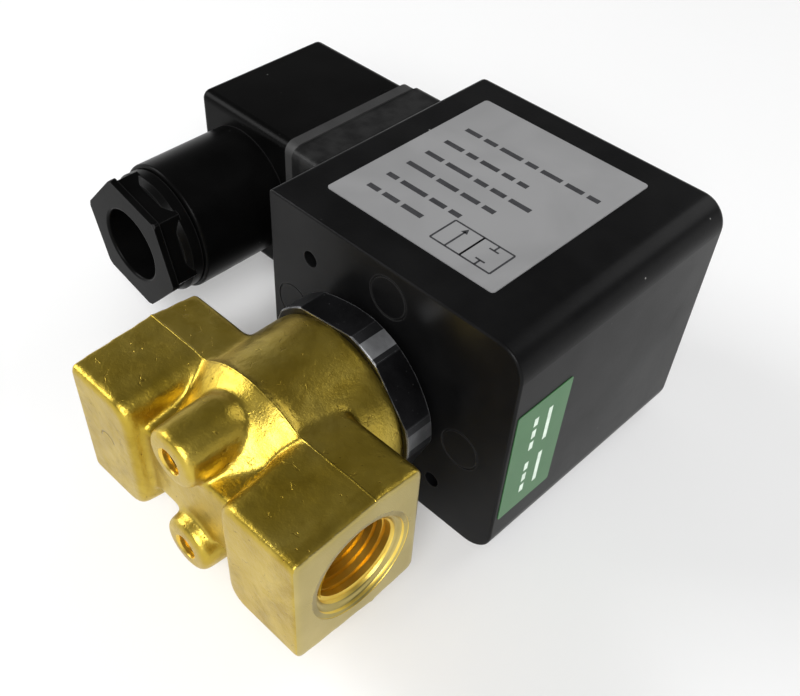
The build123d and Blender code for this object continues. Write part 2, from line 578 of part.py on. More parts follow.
# ---- plug_screw and its seal: hold the plug on the coil ----
with BuildPart() as plug_screw:
    bar(SCREW_HEAD_R, PLUG_FAR_X - 0.6, PLUG_FAR_X + 0.7, PLUG_Y, 0, mode=Mode.ADD)
    fillet(plug_screw.faces().sort_by(Axis.X)[0].edges(), 0.5)
    bar(SCREW_R, PLUG_FAR_X + 0.6, PEDESTAL_X + 5, PLUG_Y, 0, mode=Mode.ADD)
    block((PLUG_FAR_X - 2, PLUG_Y - 4, -0.4), (PLUG_FAR_X + 0.1, PLUG_Y + 4, 0.4),
          mode=Mode.SUBTRACT)
plug_screw.part.label = "plug_screw"

with BuildPart() as plug_screw_seal:
    bar(3.3, PLUG_FAR_X + 0.7, PLUG_FAR_X + 1.3, PLUG_Y, 0, mode=Mode.ADD)
    bar(1.6, PLUG_FAR_X, PLUG_FAR_X + 2, PLUG_Y, 0)
plug_screw_seal.part.label = "plug_screw_seal"

# ---- cable gland: grommet, washer and nut in the sleeve ----
with BuildPart() as gland_grommet:
    turned([
        (3.6, GLAND_SPIGOT_Y + 1.0), (SLEEVE_BORE_R - 0.1, GLAND_SPIGOT_Y + 1.0),
        (SLEEVE_BORE_R - 0.1, SLEEVE_SEAT_Y - 0.2), (6.5, SLEEVE_SEAT_Y + 1.0),
        (3.6, SLEEVE_SEAT_Y + 1.0),
    ], x=GLAND_X)
gland_grommet.part.label = "gland_grommet"

with BuildPart() as gland_washer:
    washer(SLEEVE_BORE_R - 0.1, 6.3, GLAND_SPIGOT_Y, GLAND_SPIGOT_Y + 1.0, x=GLAND_X)
gland_washer.part.label = "gland_washer"

with BuildPart() as gland_nut:
    for low_y, high_y, flats in (
        (GLAND_END_Y, GLAND_FLANGE_Y, GLAND_ACROSS_FLATS),
        (GLAND_FLANGE_Y, GLAND_HEX_Y, GLAND_BODY_FLATS),
    ):
        with BuildSketch(across_stem(low_y)):
            with Locations((GLAND_X, 0)):
                RegularPolygon(flats / 2, 6, major_radius=False, rotation=GLAND_TURN)
        extrude(amount=high_y - low_y)
    turned([
        (0, GLAND_END_Y), (GLAND_TURNED_R - 0.2, GLAND_END_Y),
        (GLAND_TURNED_R, GLAND_END_Y + 0.4), (GLAND_TURNED_R, GLAND_HEX_Y),
        (0, GLAND_HEX_Y),
    ], x=GLAND_X, mode=Mode.INTERSECT)
    turned([
        (0, GLAND_HEX_Y - 1.4), (9.6, GLAND_HEX_Y - 1.4), (10.2, GLAND_HEX_Y - 0.4),
        (10.2, SLEEVE_END_Y - 0.3), (SLEEVE_BORE_R - FIT, SLEEVE_END_Y - 0.3),
        (SLEEVE_BORE_R - FIT, GLAND_SPIGOT_Y), (0, GLAND_SPIGOT_Y),
    ], x=GLAND_X)
    washer(GLAND_HOLE_R, 0, GLAND_END_Y - 1, GLAND_SPIGOT_Y + 1, x=GLAND_X, mode=Mode.SUBTRACT)
    mouth = gland_nut.edges().filter_by(
        lambda e: e.geom_type == GeomType.CIRCLE
        and abs(e.radius - GLAND_HOLE_R) < 0.01 and middle(e).Y < GLAND_END_Y + 0.1
    )
    fillet(mouth, 0.5)
gland_nut.part.label = "gland_nut"

PIECES = (
    valve_body, tube_nut, tube_o_ring, armature_tube, fixed_core, plunger, seat_seal,
    return_spring, coil_seal_lower, coil_housing, yoke_frame, coil_bobbin, coil_winding,
    terminal_blades, clamp_washer, lock_washer, retaining_nut, name_plate, voltage_label,
    plug_gasket, plug_housing, terminal_block, terminal_contacts, terminal_screws, plug_screw,
    plug_screw_seal, gland_grommet, gland_washer, gland_nut,
)

os.makedirs("parts", exist_ok=True)
for piece in PIECES:
    export_step(piece.part, f"parts/{piece.part.label}.step")
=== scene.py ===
import json
import math
import random

import bmesh
import bpy
import numpy as np
from mathutils import Matrix, Vector


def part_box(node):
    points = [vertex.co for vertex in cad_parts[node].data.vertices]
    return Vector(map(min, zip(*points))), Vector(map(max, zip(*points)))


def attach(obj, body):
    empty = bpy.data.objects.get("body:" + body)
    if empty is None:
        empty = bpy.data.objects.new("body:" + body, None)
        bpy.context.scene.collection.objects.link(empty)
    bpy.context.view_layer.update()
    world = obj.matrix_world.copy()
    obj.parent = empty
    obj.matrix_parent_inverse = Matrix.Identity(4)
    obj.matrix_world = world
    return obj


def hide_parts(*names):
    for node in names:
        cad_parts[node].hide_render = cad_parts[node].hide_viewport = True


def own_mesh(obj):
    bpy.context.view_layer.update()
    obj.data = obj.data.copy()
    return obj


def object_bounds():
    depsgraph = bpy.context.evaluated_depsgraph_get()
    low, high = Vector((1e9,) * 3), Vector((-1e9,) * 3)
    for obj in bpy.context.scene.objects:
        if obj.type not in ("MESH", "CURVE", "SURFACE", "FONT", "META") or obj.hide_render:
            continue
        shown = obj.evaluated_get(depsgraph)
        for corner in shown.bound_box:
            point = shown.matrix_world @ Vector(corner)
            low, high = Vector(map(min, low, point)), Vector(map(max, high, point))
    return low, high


# Looks for the solenoid valve. X runs along the ports, Y along the stem, Z out of the name plate.
# Lengths are metres, or millimetres multiplied by MM.

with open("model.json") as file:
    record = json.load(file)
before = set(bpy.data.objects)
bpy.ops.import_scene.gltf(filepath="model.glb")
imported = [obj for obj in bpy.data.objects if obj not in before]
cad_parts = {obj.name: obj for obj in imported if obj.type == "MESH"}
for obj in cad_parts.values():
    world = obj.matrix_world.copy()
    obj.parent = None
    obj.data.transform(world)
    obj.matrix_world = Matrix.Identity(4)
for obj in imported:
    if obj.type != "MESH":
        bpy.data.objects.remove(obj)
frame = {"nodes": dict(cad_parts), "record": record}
CAD_BOX = [list(corner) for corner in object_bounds()]
NODES = frame["nodes"]
MM = 0.001
BODY = "valve"


# ---- places, read from the frame or given in millimetres ----
def mount(name):
    """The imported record's mount of that name."""
    return next(m for m in frame["record"]["mounts"] if m["name"] == name)


BODY_LOW, BODY_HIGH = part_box("valve_body")
COIL_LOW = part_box("coil_housing")[0]
PLATE_LOW, PLATE_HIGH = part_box("name_plate")
GREEN_LOW, GREEN_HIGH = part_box("voltage_label")
PORT_R = mount("port_out")["dims"]["r_mm"] * MM
PORT_Y = mount("port_out")["pos_m"][1]
FIXING_R = mount("base_bolts")["dims"]["hole_r_mm"] * MM
FIXING_Z = mount("base_bolts")["dims"]["spacing_y_mm"] * MM / 2
PARTING_Y = 13.0 * MM                   # parting plane of the forging
PORT_MOUTH_R = 8.2 * MM                 # spot face around each port
SOCKET_R = 9.2 * MM                     # threaded socket of the tube nut
PEDESTAL_X = COIL_LOW.x + 12.3 * MM     # the coil's plug pedestal ends here
NUT_CORNER_R = 14.33 * MM               # the nut's turned corners lie outside this radius
NUT_HIGHLIGHT_STRIPS = ((66.5, 1.0), (8.0, 0.35))   # direction of each painted highlight strip on the turned corners in degrees, and its strength
NUT_HIGHLIGHT_HALF = 5.2                     # half width of each painted highlight strip, in degrees
NUT_TURNED_WEAR = 0.06                  # wear on the rest of each turned corner
MARK_CENTRE = (-14.9 * MM, 0.0, 0.4 * MM)   # small arc stamped in the inlet block's base
MARK_R = 1.4 * MM
MARK_HEIGHT = 4.0 * MM                  # the stamp stays below this height
TINY = 0.02 * MM


# ---- material helpers ----
class Look:
    """A node tree around one Principled BSDF, with short calls for the textures it needs."""

    def __init__(self, name):
        self.material = bpy.data.materials.new(name)
        self.material.use_nodes = True
        self.tree = self.material.node_tree
        self.shader = self.tree.nodes["Principled BSDF"]
        self.coordinates = self.add("ShaderNodeTexCoord").outputs["Object"]

    def add(self, kind, **settings):
        """A new node of that kind with its settings."""
        node = self.tree.nodes.new(kind)
        for key, value in settings.items():
            setattr(node, key, value)
        return node

    def link(self, source, target):
        self.tree.links.new(source, target)

    def set(self, **values):
        """Constant values on the shader's own sockets; underscores stand for spaces."""
        for key, value in values.items():
            self.shader.inputs[key.replace("_", " ")].default_value = value

    def stretched(self, scale):
        """Object coordinates with a different scale along each axis."""
        mapping = self.add("ShaderNodeMapping")
        mapping.inputs["Scale"].default_value = scale
        self.link(self.coordinates, mapping.inputs["Vector"])
        return mapping.outputs["Vector"]

    def noise(self, scale, detail=3.0, roughness=0.5, vector=None, distortion=0.0):
        node = self.add("ShaderNodeTexNoise")
        node.inputs["Scale"].default_value = scale
        node.inputs["Detail"].default_value = detail
        node.inputs["Roughness"].default_value = roughness
        node.inputs["Distortion"].default_value = distortion
        self.link(vector or self.coordinates, node.inputs["Vector"])
        return node.outputs["Fac"]

    def cells(self, scale, feature="F1", vector=None):
        node = self.add("ShaderNodeTexVoronoi", feature=feature)
        node.inputs["Scale"].default_value = scale
        self.link(vector or self.coordinates, node.inputs["Vector"])
        return node.outputs["Distance"]

    def waves(self, scale, direction, distortion=0.0, kind="BANDS"):
        node = self.add("ShaderNodeTexWave", wave_type=kind)
        if kind == "BANDS":
            node.bands_direction = direction
        else:
            node.rings_direction = direction
        node.inputs["Scale"].default_value = scale
        node.inputs["Distortion"].default_value = distortion
        self.link(self.coordinates, node.inputs["Vector"])
        return node.outputs["Fac"]

    def ramp(self, source, stops):
        """A colour ramp through (position, colour) stops; a plain number is a grey."""
        node = self.add("ShaderNodeValToRGB")
        elements = node.color_ramp.elements
        while len(elements) < len(stops):
            elements.new(0.5)
        for element, (position, colour) in zip(elements, stops):
            element.position = position
            element.color = (colour,) * 3 + (1,) if isinstance(colour, float) else (*colour, 1)
        self.link(source, node.inputs["Fac"])
        return node.outputs["Color"]

    def mix(self, factor, a, b):
        """Mix two colours; each input is a socket or a constant."""
        node = self.add("ShaderNodeMix", data_type="RGBA")
        for socket, value in zip((node.inputs[0], node.inputs[6], node.inputs[7]), (factor, a, b)):
            if isinstance(value, bpy.types.NodeSocket):
                self.link(value, socket)
            else:
                socket.default_value = value if isinstance(value, float) else (*value, 1)
        return node.outputs[2]

    def maths(self, operation, a, b=0.0):
        """One maths node; each input is a socket or a constant."""
        node = self.add("ShaderNodeMath", operation=operation)
        for socket, value in zip(node.inputs, (a, b)):
            if isinstance(value, bpy.types.NodeSocket):
                self.link(value, socket)
            else:
                socket.default_value = value
        return node.outputs[0]

    def edges(self, radius=0.0004, full=0.12):
        """1 on edges and corners sharper than the radius, 0 on flat ground."""
        rounded = self.add("ShaderNodeBevel", samples=4)
        rounded.inputs["Radius"].default_value = radius
        facing = self.add("ShaderNodeVectorMath", operation="DOT_PRODUCT")
        self.link(rounded.outputs["Normal"], facing.inputs[0])
        self.link(self.add("ShaderNodeNewGeometry").outputs["Normal"], facing.inputs[1])
        turned = self.maths("SUBTRACT", 1.0, facing.outputs["Value"])
        return self.ramp(turned, [(0.01, 0.0), (full, 1.0)])

    def scratches(self, scale, width, cover):
        """Thin curved lines, broken into short runs; a higher cover leaves fewer of them."""
        warp = self.add("ShaderNodeVectorMath", operation="MULTIPLY_ADD")
        drift = self.add("ShaderNodeTexNoise")
        drift.inputs["Scale"].default_value = scale * 0.8
        self.link(self.coordinates, drift.inputs["Vector"])
        self.link(drift.outputs["Color"], warp.inputs[0])
        warp.inputs[1].default_value = (0.003, 0.003, 0.003)
        self.link(self.coordinates, warp.inputs[2])
        lines = self.ramp(self.cells(scale, "DISTANCE_TO_EDGE", warp.outputs[0]),
                          [(width * 0.4, 1.0), (width, 0.0)])
        runs = self.ramp(self.noise(scale * 1.1, 2), [(cover, 0.0), (cover + 0.04, 1.0)])
        return self.maths("MULTIPLY", lines, runs)

    def colour(self, source):
        self.link(source, self.shader.inputs["Base Color"])

    def rough(self, source, low, high):
        """Roughness that follows a texture between two limits."""
        node = self.add("ShaderNodeMapRange")
        node.inputs["To Min"].default_value = low
        node.inputs["To Max"].default_value = high
        self.link(source, node.inputs["Value"])
        self.link(node.outputs["Result"], self.shader.inputs["Roughness"])

    def bump(self, height, distance, strength=1.0, below=None):
        """Bump of that depth in metres, stacked on an earlier one."""
        node = self.add("ShaderNodeBump")
        node.inputs["Distance"].default_value = distance
        node.inputs["Strength"].default_value = strength
        self.link(height, node.inputs["Height"])
        if below is not None:
            self.link(below, node.inputs["Normal"])
        self.link(node.outputs["Normal"], self.shader.inputs["Normal"])
        return node.outputs["Normal"]


def forged_brass():
    """Blasted forging skin: grainy, with a fine flash line, dark nicks and curved scratches."""
    look = Look("forged_brass")
    look.set(Metallic=1.0)
    broad = look.noise(90, 4, 0.6)
    tint = look.ramp(broad, [(0.3, (0.43, 0.3, 0.032)), (0.5, (0.51, 0.37, 0.055)),
                             (0.72, (0.58, 0.44, 0.09))])
    pits = look.ramp(look.cells(620, vector=look.stretched((1, 1.7, 1.2))),
                     [(0.03, 1.0), (0.12, 0.0)])
    patches = look.ramp(look.noise(210, 2), [(0.5, 0.0), (0.58, 1.0)])
    marks = look.maths("MULTIPLY", pits, patches)
    smudges = look.ramp(look.noise(75, 6, 0.65, distortion=1.5), [(0.5, 0.0), (0.66, 0.6)])
    smudged = look.mix(smudges, tint, (0.33, 0.22, 0.02))
    stained = look.mix(marks, smudged, (0.16, 0.09, 0.012))
    scratch = look.scratches(430, 0.03, 0.6)
    scored = look.mix(look.maths("MULTIPLY", scratch, 0.5), stained, (0.22, 0.14, 0.02))
    worn = look.mix(look.maths("MULTIPLY", look.edges(0.0005), 0.6), scored, (0.74, 0.58, 0.2))
    look.rough(look.noise(420, 4), 0.24, 0.44)
    height = look.add("ShaderNodeSeparateXYZ")
    look.link(look.coordinates, height.inputs[0])
    wander = look.maths("MULTIPLY", look.maths("SUBTRACT", look.noise(160, 3), 0.5), 0.0004)
    level = look.maths("ADD", look.maths("SUBTRACT", height.outputs["Y"], PARTING_Y), wander)
    flash = look.ramp(look.maths("MULTIPLY", look.maths("ABSOLUTE", level), 1000),
                      [(0.04, 1.0), (0.16, 0.0)])
    skin = look.bump(look.noise(2600, 4, 0.65), 0.00006, 0.6)
    swell = look.bump(look.noise(300, 4, 0.6), 0.0003, 0.6, skin)
    dents = look.bump(look.cells(150, "SMOOTH_F1"), 0.0005, 0.12, swell)
    nicked = look.bump(marks, -0.00008, 0.7, dents)
    ring = look.add("ShaderNodeVectorMath", operation="DISTANCE")
    look.link(look.coordinates, ring.inputs[0])
    ring.inputs[1].default_value = MARK_CENTRE
    offset = look.maths("ABSOLUTE", look.maths("SUBTRACT", ring.outputs["Value"], MARK_R))
    arc = look.ramp(look.maths("MULTIPLY", offset, 1000), [(0.08, 1.0), (0.22, 0.0)])
    half = look.maths("MULTIPLY", look.maths("GREATER_THAN", height.outputs["Z"], MARK_CENTRE[2]),
                      look.maths("LESS_THAN", height.outputs["Y"], MARK_HEIGHT))
    stamp = look.maths("MULTIPLY", arc, half)
    # The stamped arc is painted dark as well: painted shade in its shallow groove.
    look.colour(look.mix(look.maths("MULTIPLY", stamp, 0.75), worn, (0.2, 0.14, 0.03)))
    stamped = look.bump(stamp, -0.0001, 0.8, nicked)
    cut = look.bump(scratch, -0.00004, 0.5, stamped)
    look.bump(flash, 0.00008, 0.6, cut)
    return look.material


def machined_brass(name, direction):
    """Fly-cut or turned face: paler, with fine tool lines."""
    look = Look(name)
    look.set(Metallic=1.0)
    lines = look.waves(1400, direction, 0.6, "RINGS")
    blotch = look.noise(140, 3)
    look.colour(look.ramp(blotch, [(0.3, (0.42, 0.335, 0.11)), (0.7, (0.5, 0.405, 0.15))]))
    look.rough(look.noise(300, 3), 0.24, 0.36)
    fine = look.bump(lines, 0.000012, 0.5)
    look.bump(look.noise(1200, 3), 0.00003, 0.25, fine)
    return look.material


def bore_brass():
    """Cut thread surface: deeper yellow, shiny, with cutting-oil shading."""
    look = Look("bore_brass")
    look.set(Metallic=1.0)
    look.colour(look.ramp(look.noise(240, 3),
                          [(0.3, (0.72, 0.5, 0.08)), (0.7, (0.86, 0.64, 0.14))]))
    look.rough(look.noise(700, 3), 0.3, 0.42)
    look.bump(look.noise(1800, 2), 0.00002, 0.3)
    return look.material


def black_steel():
    """Black-oxide steel, speckled, and worn to bright metal on the turned corners; two strips on
    them are painted highlights.
    """
    look = Look("black_steel")
    look.set(Metallic=1.0)
    place = look.add("ShaderNodeSeparateXYZ")
    look.link(look.coordinates, place.inputs[0])
    squares = [look.maths("POWER", place.outputs[axis], 2.0) for axis in ("X", "Z")]
    radius = look.maths("SQRT", look.maths("ADD", *squares))
    turned = look.maths("GREATER_THAN", radius, NUT_CORNER_R)
    corner = look.maths("MULTIPLY", turned, NUT_TURNED_WEAR)
    # Two strips on the turned corners are painted bright as painted highlights; the rest of each
    # turned corner is real wear.
    for degrees, share in NUT_HIGHLIGHT_STRIPS:
        angle = math.radians(degrees)
        along = look.maths("ADD", look.maths("MULTIPLY", place.outputs["X"], math.cos(angle)),
                           look.maths("MULTIPLY", place.outputs["Z"], math.sin(angle)))
        facing = look.maths("GREATER_THAN", look.maths("DIVIDE", along, radius),
                            math.cos(math.radians(NUT_HIGHLIGHT_HALF)))
        highlight_strip = look.maths("MULTIPLY", look.maths("MULTIPLY", facing, turned), share)
        corner = look.maths("MAXIMUM", corner, highlight_strip)
    scuffs = look.ramp(look.noise(380, 4), [(0.3, 0.1), (0.62, 1.0)])
    rubbed_and_highlight = look.maths("MULTIPLY", corner,
                        look.ramp(look.noise(420, 4), [(0.3, 0.7), (0.6, 1.0)]))
    wear = look.maths("MAXIMUM", look.maths("MULTIPLY", look.edges(0.0003), scuffs), rubbed_and_highlight)
    base = look.ramp(look.noise(160, 4),
                     [(0.3, (0.012, 0.012, 0.013)), (0.7, (0.035, 0.035, 0.038))])
    specks = look.ramp(look.cells(1100), [(0.06, 1.0), (0.16, 0.0)])
    patches = look.ramp(look.noise(240, 3), [(0.45, 0.0), (0.65, 1.0)])
    speckled = look.mix(look.maths("MULTIPLY", look.maths("MULTIPLY", specks, patches), 0.5),
                        base, (0.3, 0.3, 0.31))
    # Bright metal mixed in where worn and on the painted highlight strips.
    look.colour(look.mix(wear, speckled, (0.62, 0.63, 0.65)))
    look.rough(look.noise(400, 3), 0.3, 0.5)
    lines = look.bump(look.waves(1500, "Y"), 0.00001, 0.4)
    look.bump(look.noise(1500, 3), 0.00006, 0.5, lines)
    return look.material


def plain_metal(name, dark, light, low, high, lines=None):
    """Plated or turned metal with slight colour drift and, along one axis, tool lines."""
    look = Look(name)
    look.set(Metallic=1.0)
    look.colour(look.ramp(look.noise(260, 4), [(0.3, dark), (0.7, light)]))
    look.rough(look.noise(500, 3), low, high)
    grain = look.bump(look.noise(2200, 3), 0.00002, 0.3)
    if lines:
        look.bump(look.waves(2200, lines), 0.00001, 0.5, grain)
    return look.material


def moulded_plastic(name, dark, light, low, high, texture, dust, wear, gloss, pale_below=None):
    """Black moulding: spark-eroded texture, drifting gloss, scuffed edges and settled dust."""
    look = Look(name)
    look.set(Specular_IOR_Level=gloss, IOR=1.5)
    base = look.ramp(look.noise(120, 4), [(0.35, dark), (0.7, light)])
    if pale_below is not None:
        place = look.add("ShaderNodeSeparateXYZ")
        look.link(look.coordinates, place.inputs[0])
        blotches = look.ramp(look.noise(330, 4, 0.6), [(0.4, 0.35), (0.62, 1.0)])
        below = look.maths("LESS_THAN", place.outputs["X"], pale_below)
        chalky = look.maths("MULTIPLY", below, blotches)
        base = look.mix(chalky, base, (0.02, 0.02, 0.02))
    specks = look.ramp(look.cells(430), [(0.045, 1.0), (0.075, 0.0)])
    sparse = look.ramp(look.noise(180, 2, 0.6), [(0.58, 0.0), (0.66, 1.0)])
    dusty = look.mix(look.maths("MULTIPLY", look.maths("MULTIPLY", specks, sparse), dust),
                     base, (0.35, 0.35, 0.34))
    scuffed = look.mix(look.maths("MULTIPLY", look.edges(0.0003), wear), dusty, (0.16, 0.16, 0.16))
    look.colour(scuffed)
    look.rough(look.noise(75, 5, 0.6, distortion=0.4), low, high)
    fine = look.bump(look.noise(3200, 3), 0.00003, texture)
    look.bump(look.noise(220, 3), 0.00012, 0.12, fine)
    return look.material


def rubber(name, colour):
    """Moulded rubber: dull, with a fine grain."""
    look = Look(name)
    darker = tuple(c * 0.7 for c in colour)
    look.colour(look.ramp(look.noise(300, 4), [(0.3, darker), (0.7, colour)]))
    look.rough(look.noise(500, 3), 0.55, 0.75)
    look.bump(look.noise(2500, 3), 0.00004, 0.4)
    return look.material


def foil(name, dark, light, low, high, metallic):
    """Printed foil: slight orange peel and drifting gloss."""
    look = Look(name)
    look.set(Metallic=metallic)
    look.colour(look.ramp(look.noise(60, 3, distortion=0.6), [(0.35, dark), (0.65, light)]))
    look.rough(look.noise(200, 3), low, high)
    peel = look.bump(look.noise(900, 2), 0.00003, 0.15)
    look.bump(look.noise(90, 2), 0.0002, 0.06, peel)
    return look.material


def copper_wire():
    """Winding of fine enamelled wire, darker in the grooves between turns as painted shade."""
    look = Look("copper_wire")
    look.set(Metallic=1.0)
    turns = look.waves(1050, "Y")
    # The same waves set the colour, darker in the grooves between turns: painted shade.
    look.colour(look.ramp(turns, [(0.1, (0.22, 0.07, 0.03)), (0.5, (0.62, 0.25, 0.12))]))
    look.rough(look.noise(300, 2), 0.25, 0.4)
    look.bump(turns, 0.00012, 0.8)
    return look.material


def print_ink(name, colour):
    """Screen-printed ink."""
    look = Look(name)
    lighter = tuple(min(1.0, c * 1.25 + 0.01) for c in colour)
    look.colour(look.ramp(look.noise(800, 3), [(0.35, colour), (0.7, lighter)]))
    look.rough(look.noise(500, 2), 0.4, 0.55)
    look.bump(look.noise(1500, 2), 0.00001, 0.2)
    return look.material


FORGED = forged_brass()
MACHINED_PORT = machined_brass("machined_brass_port", "X")
MACHINED_STEM = machined_brass("machined_brass_stem", "Y")
BORE = bore_brass()
BLACK_STEEL = black_steel()
STAINLESS = plain_metal("stainless", (0.5, 0.5, 0.51), (0.66, 0.66, 0.67), 0.18, 0.3, "Y")
ZINC = plain_metal("zinc_plate", (0.56, 0.57, 0.58), (0.66, 0.67, 0.69), 0.26, 0.4, "Y")
ZINC_X = plain_metal("zinc_plate_screw", (0.48, 0.49, 0.5), (0.66, 0.67, 0.69), 0.22, 0.36, "X")
SPRING = plain_metal("spring_wire", (0.45, 0.45, 0.47), (0.62, 0.62, 0.64), 0.2, 0.3)
YOKE = plain_metal("yoke_steel", (0.22, 0.22, 0.23), (0.36, 0.36, 0.37), 0.35, 0.5)
TIN = plain_metal("tin_plate", (0.55, 0.54, 0.5), (0.74, 0.72, 0.66), 0.25, 0.4)
COIL_BLACK = moulded_plastic("coil_black", (0.003, 0.003, 0.0032), (0.006, 0.006, 0.0062),
                             0.22, 0.42, 0.35, 0.9, 0.12, 0.09, PEDESTAL_X)
PLUG_BLACK = moulded_plastic("plug_black", (0.0015, 0.0015, 0.0015), (0.003, 0.003, 0.003),
                             0.22, 0.38, 0.2, 0.4, 0.1, 0.045)
NATURAL = moulded_plastic("natural_plastic", (0.45, 0.4, 0.3), (0.6, 0.55, 0.43),
                          0.35, 0.5, 0.3, 0.0, 0.0, 0.5)
SEAL = rubber("seal_black", (0.025, 0.025, 0.025))
GASKET = rubber("gasket_grey", (0.028, 0.028, 0.028))
PLATE = foil("plate_silver", (0.38, 0.38, 0.385), (0.44, 0.44, 0.445), 0.38, 0.46, 0.5)
GREEN = foil("label_green", (0.032, 0.12, 0.04), (0.042, 0.145, 0.048), 0.34, 0.44, 0.0)
COPPER = copper_wire()
DARK_INK = print_ink("ink_dark", (0.025, 0.025, 0.028))
PALE_INK = print_ink("ink_pale", (0.62, 0.72, 0.62))

NODE_LOOKS = {
    "valve_body": FORGED, "tube_nut": BLACK_STEEL, "tube_o_ring": SEAL,
    "armature_tube": STAINLESS, "fixed_core": STAINLESS, "plunger": STAINLESS,
    "seat_seal": SEAL, "return_spring": SPRING, "coil_seal_lower": SEAL,
    "coil_housing": COIL_BLACK, "yoke_frame": YOKE, "coil_bobbin": NATURAL,
    "coil_winding": COPPER, "terminal_blades": TIN, "clamp_washer": ZINC,
    "lock_washer": ZINC, "retaining_nut": ZINC, "name_plate": PLATE,
    "voltage_label": GREEN, "plug_gasket": GASKET, "plug_housing": PLUG_BLACK,
    "terminal_block": NATURAL, "terminal_contacts": TIN, "terminal_screws": ZINC_X,
    "plug_screw": ZINC_X, "plug_screw_seal": SEAL, "gland_grommet": SEAL,
    "gland_washer": STAINLESS, "gland_nut": PLUG_BLACK,
}
for node_name, look in NODE_LOOKS.items():
    NODES[node_name].data.materials.clear()
    NODES[node_name].data.materials.append(look)


# ---- mesh helpers ----
def make_piece(name, mesh, material):
    """A new visible piece that rides on the valve and takes its finish from a slot."""
    piece = bpy.data.objects.new(name, mesh)
    bpy.context.scene.collection.objects.link(piece)
    piece.data.materials.append(material)
    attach(piece, BODY)
    return piece


def shade_smooth(piece, angle):
    """Smooth shading up to an angle in degrees, sharp edges above it."""
    bpy.context.view_layer.objects.active = piece
    for other in bpy.context.selected_objects:
        other.select_set(False)
    piece.select_set(True)
    bpy.ops.object.shade_smooth_by_angle(angle=math.radians(angle))


def thread(name, place, root_r, crest_r, pitch, length):
    """A helical ridge from the wall of radius root_r to crest_r. place maps its own Z axis, which
    runs from the first turn to the last, to the row frame. The ridge fades in and out."""
    per_turn = 72
    steps = int(length / pitch * per_turn)
    mesh = bmesh.new()
    rings = []
    fade = per_turn * 0.75
    for i in range(steps + 1):
        angle = 2 * math.pi * i / per_turn
        z = pitch * i / per_turn
        share = min(1.0, i / fade, (steps - i) / fade)
        crest = root_r + (crest_r - root_r) * (0.04 + 0.96 * share)
        profile = [(root_r, -0.49), (crest, -0.34), (crest, 0.34), (root_r, 0.49)]
        c, s = math.cos(angle), math.sin(angle)
        rings.append([mesh.verts.new(place @ Vector((r * c, r * s, z + t * pitch)))
                      for r, t in profile])
    for a, b in zip(rings, rings[1:]):
        for j in range(4):
            mesh.faces.new((a[j], a[(j + 1) % 4], b[(j + 1) % 4], b[j]))
    mesh.faces.new(rings[0])
    mesh.faces.new(list(reversed(rings[-1])))
    bmesh.ops.recalc_face_normals(mesh, faces=mesh.faces)
    data = bpy.data.meshes.new(name)
    mesh.to_mesh(data)
    mesh.free()
    shade_smooth(make_piece(name, data, BORE), 30)


def along_axis(origin, direction):
    """Matrix that takes the own Z axis to a direction from an origin."""
    turn = Vector(direction).to_track_quat("Z", "Y").to_matrix().to_4x4()
    return Matrix.Translation(origin) @ turn


# ---- brass body ----
PORT_FROM_X = 9.0 * MM          # ports lie beyond this distance from the stem
PASSAGE_TO_X = 10.0 * MM        # passages lie within it
PASSAGE_CUT_R = 2.5 * MM
STEM_FROM_Y = 8.0 * MM
FIXING_TO_Y = 8.5 * MM
SPOT_DEPTH = 0.95 * MM          # the spot face and its step reach this deep
VOXEL = 0.28 * MM
TOP_STOCK = 0.8 * MM            # extra metal on the barrel, faced off again
OVERRUN = 1.5 * MM              # how far each bore's cutter stands out
SOFTEN_ROUNDS = 24
HOLLOW_RATE = 0.45              # how fast inner corners fill
OUTER_RATE = 0.26               # how fast outer corners wear
MIDDLE_EXTRA = 0.4              # more wear between the port blocks
MIDDLE_X = 12.5 * MM
MIDDLE_FADE = 3.0 * MM
FLASH_BAND = 0.6 * MM           # the parting line keeps its edge within this height
FLASH_RATE = 0.12


def cut_surface(point):
    """Whether a point of the body lies on a drilled or bored surface."""
    x, y, z = point
    in_port = abs(x) > PORT_FROM_X and math.hypot(y - PORT_Y, z) < PORT_MOUTH_R + TINY
    in_passage = abs(x) < PASSAGE_TO_X and math.hypot(y - PORT_Y, z) < PASSAGE_CUT_R
    in_stem = y > STEM_FROM_Y and math.hypot(x, z) < SOCKET_R + TINY
    in_fixing = y < FIXING_TO_Y and math.hypot(x, abs(z) - FIXING_Z) < FIXING_R + TINY
    return in_port or in_passage or in_stem or in_fixing


def on_plane(point, axis, level):
    return abs(point[axis] - level) < TINY


def off_machined(point, distance):
    """The point moved outwards by a distance if it lies on a machined plane of the body."""
    moved = Vector(point)
    for axis, level, step in ((0, BODY_HIGH.x, 1), (0, BODY_LOW.x, -1), (1, 0.0, -1),
                              (1, BODY_HIGH.y, 1)):
        if on_plane(point, axis, level):
            moved[axis] += step * distance
    return moved


def cap_holes(mesh):
    """Close every open rim with flat faces."""
    rims = [e for e in mesh.edges if e.is_boundary]
    bmesh.ops.holes_fill(mesh, edges=rims, sides=0)
    bmesh.ops.triangulate(mesh, faces=[f for f in mesh.faces if len(f.verts) > 4])


def scratch_object(name, mesh):
    """A passing object that holds a bmesh for a modifier."""
    data = bpy.data.meshes.new(name)
    mesh.to_mesh(data)
    mesh.free()
    thing = bpy.data.objects.new(name, data)
    bpy.context.scene.collection.objects.link(thing)
    return thing


def with_modifier(thing, kind, **settings):
    """The mesh of an object after one modifier; the object itself goes."""
    modifier = thing.modifiers.new(kind, kind)
    for key, value in settings.items():
        setattr(modifier, key, value)
    graph = bpy.context.evaluated_depsgraph_get()
    data = bpy.data.meshes.new_from_object(thing.evaluated_get(graph))
    bpy.data.objects.remove(thing)
    return data


